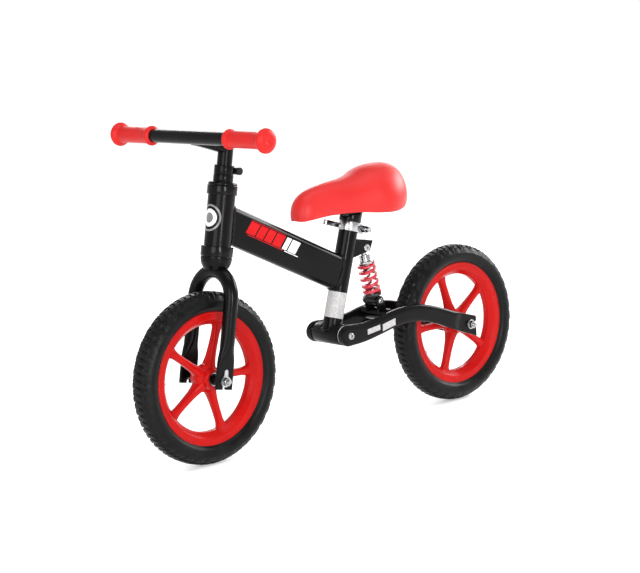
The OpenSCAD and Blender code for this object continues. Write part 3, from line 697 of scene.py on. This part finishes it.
def bolt_head(y0, y1, r, x, z, socket=2.6):
    """A domed button head with a hexagon socket, from its seat y0 out to y1."""
    out = math.copysign(1, y1 - y0)
    high = abs(y1 - y0)
    steps = 48
    rings = [[] for _ in range(7)]
    for k in range(steps):
        a = 2 * math.pi * k / steps
        sixth = a % (math.pi / 3) - math.pi / 6
        key = socket / math.cos(sixth)
        place = [(0.3, y0), (r, y0), (r, y0 + out * high * 0.35), (r * 0.86, y0 + out * high * 0.8),
                 (key + 0.8, y1), (key, y1 - out * 0.3), (key, y0 + out * high * 0.25)]
        for ring, (q, y) in zip(rings, place):
            ring.append((x + q * math.cos(a), y, z + q * math.sin(a)))
    floor = [(x + 0.3 * math.cos(2 * math.pi * k / steps), y0 + out * high * 0.25,
              z + 0.3 * math.sin(2 * math.pi * k / steps)) for k in range(steps)]
    return grid(rings + [floor], closed=True)


def shank(radius, y0, y1, x, z):
    """The plain part of a bolt or axle along Y."""
    return lathe_y([(0.2, y0), (radius, y0), (radius, y1), (0.2, y1)], x, z, 40)


def hardware(name, parts, body, node):
    """A zinc-plated piece that stands for one node."""
    stands_for(piece(name, *merged(*parts), zinc, body, 32), node)


AXLE_NUT_FLATS, AXLE_TIP_R, NUT_BORE_GAP = 13.0, 3.8, 0.02


def axle_set(end, x, face, body):
    """An axle and its two nuts; face is the arm or tab's outer face."""
    nut_in, nut_out, tip = face + 1.5, face + 8.0, face + 13.0
    rod = [shank(AXLE_R, -nut_in, nut_in, x, AXLE_Z)]
    rod += [threaded_end(s * nut_in, s * (tip - 4.0), AXLE_R, x, AXLE_Z) for s in (-1, 1)]
    rod += [threaded_end(s * (tip - 4.1), s * tip, AXLE_TIP_R, x, AXLE_Z) for s in (-1, 1)]
    hardware(end + "_axle_threaded", rod, body, end + "_axle")
    nuts = [hexagon(s * nut_in, s * nut_out, AXLE_NUT_FLATS, AXLE_R + NUT_BORE_GAP, x, AXLE_Z, 0.25)
            for s in (-1, 1)]
    hardware(end + "_axle_hex_nuts", nuts, body, end + "_axle_nuts")


axle_set("front", FRONT_X, 50.0, "fork")
axle_set("rear", REAR_X, 45.5, "swingarm")


def shock_bolt(name, at, face, head_r, body, node):
    """A bolt through a shock eye, with a domed head on the left and a nut on the right."""
    x, z, r = at[0], at[2], AXLE_R
    hardware(name, [shank(r, -face - 6.5, face, x, z), bolt_head(face, face + 3.5, head_r, x, z),
                    hexagon(-face, -face - 6.4, 13.0, r + NUT_BORE_GAP, x, z)], body, node)


pivot_x, pivot_z = PIVOT[0], PIVOT[2]
hardware("pivot_bolt_domed", [shank(PIVOT_BOLT_R, -56, 48, pivot_x, pivot_z),
                              bolt_head(48, 51.5, 6.6, pivot_x, pivot_z, 3.0)], "swingarm", "pivot_bolt")
hardware("pivot_hex_nut", [hexagon(-48, -55, 15.0, PIVOT_BOLT_R + NUT_BORE_GAP, pivot_x, pivot_z)],
         "swingarm", "pivot_nut")
shock_bolt("upper_shock_bolt_set", SHOCK_TOP, 10.0, 7.0, "frame", "upper_shock_bolt")
shock_bolt("lower_shock_bolt_set", SHOCK_FOOT, 16.3, 5.2, "swingarm", "lower_shock_bolt")

for end, x in (("front", FRONT_X), ("rear", REAR_X)):
    seals = [lathe_y([(5.6, s * 21.9), (5.6, s * 22.12), (9.6, s * 22.12), (9.6, s * 21.9)], x, AXLE_Z, 64)
             for s in (-1, 1)]
    piece(end + "_bearing_seals", *merged(*seals), plastic, end + "_wheel")

# ---------- Decals: plain shapes only ----------

red_print = surface("red_print", (0.46, 0.004, 0.006), (0.51, 0.007, 0.009), 0.30, 0.03, specular=0.12)
white_print = surface("white_print", (0.82, 0.82, 0.82), (0.88, 0.88, 0.88), 0.30, 0.04, coat=0.3)
grey_print = surface("grey_print", (0.15, 0.15, 0.15), (0.20, 0.20, 0.20), 0.30, 0.04, coat=0.3)
label_paper = surface("label_paper", (0.34, 0.33, 0.33), (0.46, 0.45, 0.45), 0.36, 0.06, patch=260)
MAIN_MID = np.array([100.0, 0, 330.8])
MAIN_SLOPE = math.radians(25.7)
MAIN_HALF_HIGH, MAIN_HALF_WIDE, MAIN_CORNER = 31.0, 15.0, 13.0


def on_main_tube(s, h, y):
    """A point from main tube coordinates: s along it, h up across it and y to the left."""
    c, n = math.cos(MAIN_SLOPE), math.sin(MAIN_SLOPE)
    return MAIN_MID + np.array([s * c - h * n, y, s * n + h * c])


def bead(name, path, r, body):
    """A weld bead with shallow ripples, along a closed path."""
    rings = []
    for k, p in enumerate(path):
        ahead = path[(k + 1) % len(path)] - path[k - 1]
        ahead = ahead / np.linalg.norm(ahead)
        side_way = np.cross(ahead, [0.31, 0.22, 0.93])
        side_way = side_way / np.linalg.norm(side_way)
        other = np.cross(ahead, side_way)
        here = r * (1 + 0.10 * abs(math.sin(k * 0.9)))
        rings.append([p + here * (math.cos(a) * side_way + math.sin(a) * other) for a in around(10)])
    piece(name, *grid(rings, closed=True), paint, body, 60)


def tube_meets(axis_point, axis, radius, start, toward):
    """Where each line along the main tube's surface meets a round tube."""
    corner = MAIN_CORNER
    outline = []
    for k in range(160):
        a = 2 * math.pi * k / 160
        c, n = math.cos(a), math.sin(a)
        h = (MAIN_HALF_HIGH - corner) * max(-1.0, min(1.0, 2.2 * c)) + corner * c
        y = (MAIN_HALF_WIDE - corner) * max(-1.0, min(1.0, 2.2 * n)) + corner * n
        low, high = start, start + toward * 60
        for _ in range(30):
            mid = (low + high) / 2
            d = on_main_tube(mid, h, y) - axis_point
            off = np.linalg.norm(d - axis * np.dot(d, axis))
            low, high = (mid, high) if off > radius else (low, mid)
        outline.append(on_main_tube(low, h, y))
    return outline


def weld_beads():
    """Beads round both ends of the main tube and round the seat tube's foot."""
    front_axle = np.array([FRONT_X, 0, AXLE_Z])
    bead("weld_main_to_head", tube_meets(front_axle, HEAD_AXIS, HEAD_TUBE_R + 0.75, 110, 1), 2.4, "frame")
    bead("weld_main_to_seat", tube_meets(SEAT_FOOT, SEAT_AXIS, SEAT_TUBE_R + 0.8, -60, -1), 2.4, "frame")
    foot = []
    for k in range(120):
        a = 2 * math.pi * k / 120
        x, y = (SEAT_TUBE_R + 0.2) * math.cos(a), (SEAT_TUBE_R + 0.2) * math.sin(a)
        low, high = 5.0, 40.0
        for _ in range(30):
            mid = (low + high) / 2
            p = at_seat(x, y, mid)
            away = math.hypot(p[0] - PIVOT[0], p[2] - PIVOT[2])
            low, high = (mid, high) if away < PIVOT_TUBE_R + 0.2 else (low, mid)
        foot.append(at_seat(x, y, low))
    bead("weld_seat_to_pivot", foot, 2.2, "frame")


def tube_sticker(name, shapes, side, material):
    """Flat stickers on one side of the main tube; each shape is (front, back, low, high, slant)."""
    parts = []
    for front, back, low, high, slant in shapes:
        corners = [on_main_tube(s + slant * (high - h) / (high - low), h, y)
                   for y in (side * (MAIN_HALF_WIDE - 0.1), side * (MAIN_HALF_WIDE + 0.16))
                   for s, h in ((front, low), (back, low), (back, high), (front, high))]
        parts.append(block(corners))
    piece(name, *merged(*parts), material, "frame", 30)


weld_beads()

for side, tag in ((1, "left"), (-1, "right")):
    lean, low, high = 6.0, -3.5, 18.5
    edges = [(110, 89.5), (87.0, 70), (67.5, 50.5), (48.0, 28)]
    bars = [(front, back, low, high, lean) for front, back in edges]
    rules = [(111, 27, -6.2, -5.0, 0.5), (110, 28, 19.8, 20.6, 0.4)]
    tube_sticker(tag + "_red_bars", bars + rules, side, red_print)
    white = [(24, 13.5, low, high, lean), (10.5, -8, low, high, lean), (23, -10, -6.2, -5.0, 0.5)]
    tube_sticker(tag + "_white_bars", white, side, white_print)


def head_ring(name, inner, outer, lift, material):
    """A flat ring wrapped round the front of the head tube."""
    centre_up, r = HEAD_RISE + 63.0, HEAD_TUBE_R + lift
    rings = []
    widths = np.linspace(inner, outer, 7)
    section = [(q, r - 0.1) for q in widths] + [(q, r) for q in widths[::-1]]
    for k in range(96):
        a = 2 * math.pi * k / 96
        ring = []
        for q, rr in section:
            turn = q * math.cos(a) / HEAD_TUBE_R
            ring.append(at_leg(rr * math.cos(turn), rr * math.sin(turn), centre_up + q * math.sin(a)))
        rings.append(ring)
    piece(name, *grid(rings, closed=True), material, "frame", 50)


head_ring("badge_outer_ring", 19.2, 22.4, 0.14, grey_print)
head_ring("badge_wide_ring", 8.4, 14.8, 0.16, white_print)
head_ring("badge_disc", 0.2, 7.6, 0.16, grey_print)


def wrapped_label(name, low, high, material):
    """A plain label wrapped round most of the seat tube."""
    r = SEAT_TUBE_R + 0.15
    rings = []
    for k in range(49):
        a = math.radians(-125 + 250 * k / 48)
        rings.append([at_seat(q * math.cos(a), q * math.sin(a), s)
                      for q, s in ((r - 0.1, low), (r, low), (r, high), (r - 0.1, high))])
    piece(name, *grid(rings), material, "frame", 40)


wrapped_label("seat_tube_label", 27.0, 73.0, label_paper)


def arm_label(name, x0, x1, low, high, side):
    """A label on the outer face of an arm, following its slope."""
    outer = ARM_Y + ARM_HALF
    corners = [(x, y, float(arm_height(x)) + lift) for y in (side * (outer - 0.1), side * (outer + 0.18))
               for x, lift in ((x0, low), (x1, low), (x1, high), (x0, high))]
    piece(name, *block(corners), label_paper, "swingarm", 30)


arm_label("left_arm_label_front", -32, -63, -5.0, 4.5, 1)
arm_label("left_arm_label_back", -69, -101, -9.5, 2.6, 1)

# ---------- Camera ----------

CAMERA_AT = (2.26766, 2.47003, 0.80274)
CAMERA_YAW, CAMERA_PITCH, CAMERA_ROLL = -2.306465, -0.1615468, -0.0502883
LENS_MM = 109.084


def make_camera():
    """The camera that was fitted to the photo: its place, its turn and its lens."""
    data = bpy.data.cameras.new("camera")
    data.sensor_width = 36.0
    data.sensor_fit = "HORIZONTAL"
    data.lens = LENS_MM
    data.clip_start, data.clip_end = 0.1, 60.0
    obj = linked("camera", data)
    cp, sp = math.cos(CAMERA_PITCH), math.sin(CAMERA_PITCH)
    ahead = Vector((cp * math.cos(CAMERA_YAW), cp * math.sin(CAMERA_YAW), sp))
    right = ahead.cross(Vector((0, 0, 1))).normalized()
    up = right.cross(ahead)
    cr, sr = math.cos(CAMERA_ROLL), math.sin(CAMERA_ROLL)
    tilted_right = cr * right + sr * up
    tilted_up = -sr * right + cr * up
    turn = Matrix((tilted_right, tilted_up, -ahead)).transposed().to_4x4()
    obj.matrix_world = Matrix.Translation(CAMERA_AT) @ turn
    bpy.context.scene.camera = obj


make_camera()

# ---------- Studio ----------


def soft_box(name, at, target, size, radiance):
    """A rectangular light of even brightness; a radiance of 1 shows as white."""
    data = bpy.data.lights.new(name, "AREA")
    data.shape = "RECTANGLE"
    data.size, data.size_y = size
    data.energy = radiance * math.pi * size[0] * size[1]
    obj = linked(name, data)
    obj.location = at
    obj.rotation_mode = "QUATERNION"
    obj.rotation_quaternion = (Vector(target) - Vector(at)).to_track_quat("-Z", "Y")


def make_floor():
    """A wide white floor that glows a little, so that it stays white right to the horizon."""
    n = Nodes("studio_white")
    n.set(Roughness=0.30, Emission_Color=(1, 1, 1, 1), Emission_Strength=0.30, Specular_IOR_Level=0.25)
    n.tint(n.ramp(n.noise(3.0), 0.0, 1.0), (0.93, 0.93, 0.93), (0.95, 0.95, 0.95))
    mesh = bpy.data.meshes.new("floor")
    reach = 30.0
    corners = [(-reach, -reach, 0), (reach, -reach, 0), (reach, reach, 0), (-reach, reach, 0)]
    mesh.from_pydata(corners, [], [(0, 1, 2, 3)])
    mesh.materials.append(n.material)
    linked("floor", mesh)


make_floor()
world = bpy.data.worlds.new("studio")
bpy.context.scene.world = world
world.use_nodes = True


def studio_sky(tree):
    """White round the horizon, greyer overhead, so that dark gloss keeps its shape."""
    place = tree.nodes.new("ShaderNodeTexCoord")
    parts = tree.nodes.new("ShaderNodeSeparateXYZ")
    shade = tree.nodes.new("ShaderNodeMapRange")
    shade.interpolation_type = "SMOOTHSTEP"
    for socket, value in (("From Min", 0.24), ("From Max", 0.50), ("To Min", 1.0), ("To Max", 0.58)):
        shade.inputs[socket].default_value = value
    tree.links.new(place.outputs["Generated"], parts.inputs["Vector"])
    tree.links.new(parts.outputs["Z"], shade.inputs["Value"])
    tree.links.new(shade.outputs["Result"], tree.nodes["Background"].inputs["Color"])


studio_sky(world.node_tree)
soft_box("back_strip", (-1.9, -2.1, 1.55), (0.0, 0.0, 0.3), (3.6, 0.35), 8.0)
soft_box("tail_panel", (-3.1, 0.5, 1.45), (0.0, 0.0, 0.3), (1.8, 1.1), 14.0)
soft_box("front_strip", (1.4, 3.9, 1.35), (0.2, 0.0, 0.4), (0.45, 1.9), 32.0)
soft_box("nose_panel", (3.05, 1.35, 1.25), (0.2, 0.0, 0.4), (1.5, 1.7), 5.0)
soft_box("top_box", (0.1, 0.4, 2.3), (0.0, 0.0, 0.3), (1.6, 1.1), 2.5)
bpy.context.scene.view_settings.view_transform = "Standard"
